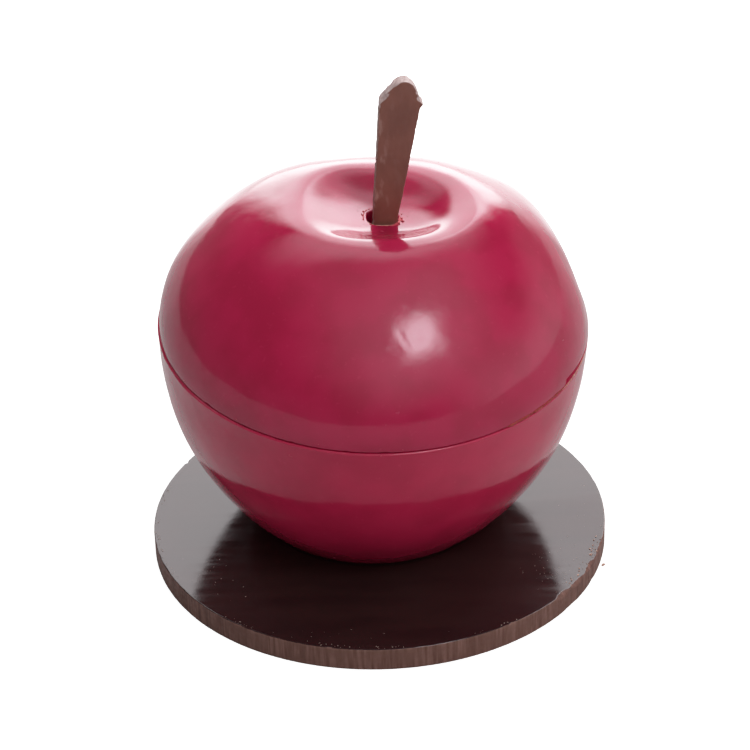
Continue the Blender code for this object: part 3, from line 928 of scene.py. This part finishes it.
def milk_finish():
    """The stem's faces, with pale scuffs that thin out towards the right."""
    look = Weave("milk_face", (0.2, 0.075, 0.058), 0.5)
    cloud = look.span(look.noise((2.5 * MM, 2.5 * MM, 8.0 * MM), 3.0, 12.0), 0.35, 0.7)
    worn = look.span(look.noise((1.1 * MM, 1.1 * MM, 3.6 * MM), 4.0, 13.0), 0.52, 0.70, 0.0, 0.8)
    worn = maths(look.tree, "MULTIPLY", worn, look.span(look.along("X"), 1.0 * MM, 3.6 * MM, 1.0, 0.12))
    base = look.mix(cloud, (0.215, 0.079, 0.057), (0.172, 0.061, 0.044))
    look.colour(look.mix(worn, base, (0.37, 0.21, 0.18)))
    look.roughness(look.span(look.noise(1.2 * MM, 3.0, 14.0), 0.3, 0.7, 0.38, 0.6))
    look.bump(look.noise((0.7 * MM, 0.7 * MM, 2.5 * MM), 4.0, 15.0), 0.02 * MM)
    look.bump(look.noise(0.22 * MM, 2.0, 16.0), 0.006 * MM)
    return look.material


def broken_finish(name, plain, pale, size):
    """Matt broken chocolate of a given grain."""
    look = Weave(name, plain, 0.65)
    look.bsdf.inputs["Specular IOR Level"].default_value = 0.25
    grain = look.span(look.noise(size, 4.0, 17.0), 0.3, 0.7)
    look.colour(look.mix(grain, plain, pale))
    look.roughness(look.span(look.noise(size * 2, 2.0, 18.0), 0.3, 0.7, 0.5, 0.75))
    look.bump(look.noise(size, 4.0, 19.0), size * 0.15)
    return look.material


def paint_faces(ob, material, chosen):
    """Give another finish to the faces that a test picks by middle and normal."""
    ob.data.materials.append(material)
    for face in ob.data.polygons:
        if chosen(face.center, face.normal):
            face.material_index = len(ob.data.materials) - 1


# ---------------------------------------------------------------- studio

def make_camera():
    data = bpy.data.cameras.new("camera")
    data.lens = LENS
    data.sensor_width = SENSOR
    camera = bpy.data.objects.new("camera", data)
    bpy.context.scene.collection.objects.link(camera)
    back = Vector((0.0, -math.cos(VIEW_ELEVATION), math.sin(VIEW_ELEVATION)))
    rise = Vector((0.0, math.sin(VIEW_ELEVATION), math.cos(VIEW_ELEVATION)))
    side = Vector((1.0, 0.0, 0.0))
    right = side * math.cos(VIEW_ROLL) + rise * math.sin(VIEW_ROLL)
    up = rise * math.cos(VIEW_ROLL) - side * math.sin(VIEW_ROLL)
    turned = Matrix((right, up, back)).transposed().to_4x4()
    camera.matrix_world = Matrix.Translation(VIEW_TARGET + back * VIEW_DISTANCE) @ turned
    bpy.context.scene.camera = camera


def make_floor():
    """A white sweep, which glows for the camera alone and, behind the object, glows with painted light in
    place of the backdrop's light on it.
    """
    material, tree, bsdf = new_material("white_sweep", (FLOOR_WHITE, FLOOR_WHITE, FLOOR_WHITE), 0.9)
    nodes, links = tree.nodes, tree.links
    place = nodes.new("ShaderNodeSeparateXYZ")
    links.new(nodes.new("ShaderNodeTexCoord").outputs["Object"], place.inputs[0])
    angle = maths(tree, "ABSOLUTE", maths(tree, "ARCTAN2", place.outputs["X"], place.outputs["Y"]))
    # painted light: a wedge of glow on the floor behind the object, standing in for light from the backdrop
    wedge = soft_step(tree, angle, *PAINTED_LIGHT_WEDGE)
    deep = soft_step(tree, place.outputs["Y"], *PAINTED_LIGHT_FROM, to_high=PAINTED_FLOOR_LIGHT)
    seen = nodes.new("ShaderNodeLightPath").outputs["Is Camera Ray"]
    lift = maths(tree, "MULTIPLY_ADD", seen, FLOOR_LIFT, maths(tree, "MULTIPLY", wedge, deep))
    glow = nodes.new("ShaderNodeEmission")
    glow.inputs["Color"].default_value = (1.0, 1.0, 1.0, 1.0)
    links.new(lift, glow.inputs["Strength"])
    both = nodes.new("ShaderNodeAddShader")
    links.new(bsdf.outputs[0], both.inputs[0])
    links.new(glow.outputs[0], both.inputs[1])
    links.new(both.outputs[0], nodes["Material Output"].inputs["Surface"])
    mesh = bpy.data.meshes.new("floor")
    corners = [(x * FLOOR_HALF, y * FLOOR_HALF, 0.0) for x, y in ((-1, -1), (1, -1), (1, 1), (-1, 1))]
    mesh.from_pydata(corners, [], [(0, 1, 2, 3)])
    add_piece("floor", mesh, material)


def make_world():
    """White light only, from soft-edged panels set round the object as directions."""
    world = bpy.data.worlds.new("studio")
    bpy.context.scene.world = world
    world.use_nodes = True
    tree = world.node_tree
    background = tree.nodes["Background"]
    background.inputs["Color"].default_value = (1.0, 1.0, 1.0, 1.0)
    direction = tree.nodes.new("ShaderNodeTexCoord").outputs["Generated"]

    def along(axis):
        node = tree.nodes.new("ShaderNodeVectorMath")
        node.operation = "DOT_PRODUCT"
        tree.links.new(direction, node.inputs[0])
        node.inputs[1].default_value = axis
        return node.outputs["Value"]

    def share_of(angle, half):
        return maths(tree, "ABSOLUTE", maths(tree, "DIVIDE", angle, math.radians(half)))

    steep = maths(tree, "ABSOLUTE", along((0.0, 0.0, 1.0)))
    total = maths(tree, "ADD", soft_step(tree, steep, *HORIZON_BAND, to_high=HORIZON), AMBIENT)
    for azimuth, elevation, half_width, half_height, soft, strength in SOFTBOXES:
        a, e = math.radians(azimuth), math.radians(elevation)
        ahead = Vector((math.sin(a) * math.cos(e), math.cos(a) * math.cos(e), math.sin(e)))
        right = Vector((math.cos(a), -math.sin(a), 0.0))
        across = maths(tree, "ARCTAN2", along(right), along(ahead))
        rise = maths(tree, "ARCSINE", along(right.cross(ahead)))
        x, y = share_of(across, half_width), share_of(rise, half_height)
        powers = [maths(tree, "POWER", value, SOFTBOX_SQUARE) for value in (x, y)]
        reach = maths(tree, "POWER", maths(tree, "ADD", *powers), 1.0 / SOFTBOX_SQUARE)
        total = maths(tree, "ADD", total, soft_step(tree, reach, 1.0 + soft, 1.0 - soft, to_high=strength))
    seen = tree.nodes.new("ShaderNodeLightPath").outputs["Is Camera Ray"]
    strength = maths(tree, "MAXIMUM", total, maths(tree, "MULTIPLY", seen, BACKDROP_SEEN))
    tree.links.new(strength, background.inputs["Strength"])


def make_exposure():
    """A photographic response: straight up to the middle tones, then a soft shoulder into white."""
    view = bpy.context.scene.view_settings
    view.view_transform = "Standard"
    view.use_curve_mapping = True
    view.curve_mapping.white_level = (WHITE_POINT, WHITE_POINT, WHITE_POINT)
    points = view.curve_mapping.curves[COMBINED].points
    for light, shown in RESPONSE:
        points.new(light / WHITE_POINT, shown)
    view.curve_mapping.update()


# ---------------------------------------------------------------- the object

crimson = crimson_finish("crimson_upper", plain=(0.375, 0.0085, 0.051), deep=(0.325, 0.007, 0.041),
                         pale=(0.42, 0.018, 0.066), seed=20.0)
crimson_low = crimson_finish("crimson_lower", plain=(0.455, 0.014, 0.060), deep=(0.405, 0.012, 0.052),
                             pale=(0.49, 0.024, 0.075), seed=30.0)
dark = dark_gloss()
milk = milk_finish()
dust = broken_finish("pale_dust", (0.30, 0.21, 0.18), (0.45, 0.34, 0.30), 0.3 * MM)
tan = broken_finish("tan_break", (0.50, 0.18, 0.15), (0.66, 0.34, 0.28), 0.4 * MM)
brown = broken_finish("brown_break", (0.16, 0.06, 0.045), (0.26, 0.11, 0.085), 0.5 * MM)
red_brown = broken_finish("red_brown_break", (0.24, 0.021, 0.020), (0.34, 0.047, 0.042), 0.6 * MM)
cream = broken_finish("cream_break", (0.46, 0.25, 0.19), (0.64, 0.43, 0.35), 0.4 * MM)
red = broken_finish("crimson_break", (0.46, 0.03, 0.06), (0.60, 0.14, 0.15), 0.4 * MM)
pale_milk = broken_finish("milk_cut", (0.38, 0.26, 0.25), (0.56, 0.43, 0.42), 0.5 * MM)
milk_side = broken_finish("milk_side", (0.24, 0.13, 0.11), (0.38, 0.25, 0.22), 0.6 * MM)

upper = make_upper(crimson)
lower = make_lower(crimson_low)
disc = make_disc(dark)
stem = make_stem(milk)

stem_turn = LEAN.to_matrix() @ STEM_TURN
stem_face = stem_turn @ Vector((0.0, 1.0, 0.0))
stem_head = (APPLE @ STEM_PLACE + stem_turn @ Vector((0.0, 0.0, STEM_RISE - 0.5 * MM))).z
paint_faces(disc, dark_cut(), lambda middle, normal: middle.z < DISC_T - 0.08 * MM and normal.z < 0.93)
paint_faces(stem, milk_side, lambda middle, normal: abs(normal.dot(stem_face)) < 0.8)
paint_faces(stem, pale_milk,
            lambda middle, normal: middle.z > stem_head and abs(normal.dot(stem_face)) < 0.9)

seam_chocolate = cord_mesh("seam_chocolate", seam_path(-57.0, -31.0, 34.0 * MM, 0.10 * MM),
                           0.34 * MM, 0.36 * MM, red_brown, 72)
chip_edge = cord_mesh("chip_edge", seam_path(-33.0, -14.0, 34.12 * MM, -0.17 * MM),
                      0.12 * MM, 0.08 * MM, tan, 75)
mouth_edge = cord_mesh("mouth_edge", mouth_path(-160.0, -10.0, 1.01), 0.09 * MM, 0.07 * MM, tan, 78)
mouth_burr = cord_mesh("mouth_burr", mouth_path(-62.0, 12.0, 1.10), 0.30 * MM, 0.20 * MM, red, 84)
mouth_curl = cord_mesh("mouth_curl", mouth_path(118.0, 205.0, 1.20), 0.13 * MM, 0.12 * MM, red, 90)

upper_tree, lower_tree, disc_tree = tree_of(upper), tree_of(lower), tree_of(disc)
pieces = [                                  # piece, node that it replaces, slot
    (upper, "upper_half", "crimson_upper"),
    (lower, "lower_half", "crimson_lower"),
    (disc, "base_disc", "dark_chocolate"),
    (stem, "stem", "milk_chocolate"),
    (seam_chocolate, None, "milk_chocolate"),
    (chip_edge, None, "milk_chocolate"),
    (mouth_edge, None, "milk_chocolate"),
    (mouth_burr, None, "crimson_upper"),
    (mouth_curl, None, "crimson_upper"),
    (make_crimson_flakes(upper_tree, lower_tree, red), None, "crimson_upper"),
    (make_shavings(upper_tree, brown), None, "milk_chocolate"),
    (make_crumbs(disc_tree, cream), None, "dark_chocolate"),
    (make_dust(disc_tree, dust), None, "milk_chocolate"),
]
for piece, node, slot in pieces:
    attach(piece, "root")
    if node:
        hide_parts(node)

make_floor()
make_camera()
make_world()
make_exposure()
